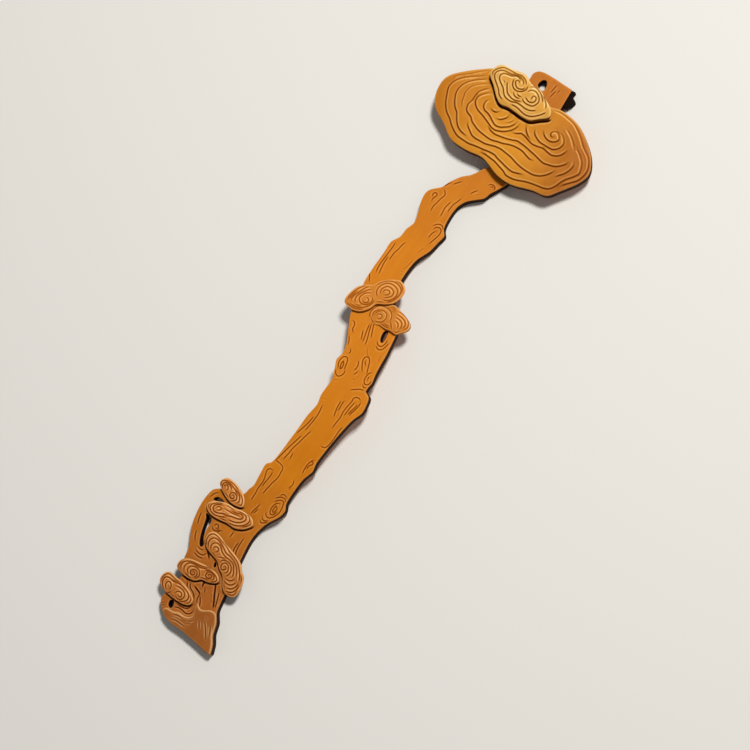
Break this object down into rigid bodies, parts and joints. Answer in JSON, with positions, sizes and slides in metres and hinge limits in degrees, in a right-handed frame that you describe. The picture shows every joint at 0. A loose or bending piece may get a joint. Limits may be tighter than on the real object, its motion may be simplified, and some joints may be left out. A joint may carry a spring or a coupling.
{
  "type": "bamboo ruyi scepter",
  "caption": "Scepter shaped as a gnarled fungus branch, a wooden core veneered in carved bamboo, with a broad fungus head, collar caps and a rooted foot, to hold or display.",
  "frame": {"origin": "under the middle of the scepter's box, on the surface that it lies on", "axes": "+X along the shaft from the root to the head, +Y towards the left edge seen from the face, +Z out of the face"},
  "size_m": [0.4036, 0.1066, 0.0275],
  "materials": {
    "bamboo": "polished bamboo inner skin, orange, satin",
    "pale_bamboo": "polished bamboo inner skin, golden, satin",
    "warm_bamboo": "polished bamboo inner skin, reddish, satin",
    "core_wood": "dark hardwood, oiled",
    "dowel_wood": "plain split bamboo",
    "bark": "rough dark bark"
  },
  "bodies": {
    "root": {"shaft_face": "bamboo", "shaft_back": "bamboo", "shaft_edge_left": "bamboo", "shaft_edge_right": "bamboo", "stub_end_strip": "bamboo", "head_back": "bamboo", "head_rim": "bamboo", "collar_upper_face": "bamboo", "collar_lower_face": "bamboo", "head_face": "pale_bamboo", "small_cap_face": "pale_bamboo", "root_sheath": "warm_bamboo", "fungus_1_face": "warm_bamboo", "fungus_2_face": "warm_bamboo", "fungus_3_face": "warm_bamboo", "fungus_4_face": "warm_bamboo", "fungus_5_face": "warm_bamboo", "shaft_core": "core_wood", "head_core": "core_wood", "small_cap_core": "core_wood", "collar_upper_core": "core_wood", "collar_lower_core": "core_wood", "fungus_1_core": "core_wood", "fungus_2_core": "core_wood", "fungus_3_core": "core_wood", "fungus_4_core": "core_wood", "fungus_5_core": "core_wood", "head_dowel_lower": "dowel_wood", "head_dowel_upper": "dowel_wood", "small_cap_dowel": "dowel_wood", "collar_upper_dowel": "dowel_wood", "collar_lower_dowel": "dowel_wood", "fungus_1_pin": "dowel_wood", "fungus_2_pin": "dowel_wood", "fungus_3_pin": "dowel_wood", "fungus_4_pin": "dowel_wood", "fungus_5_pin": "dowel_wood", "stub_bark": "bark"}
  },
  "joints": []
}
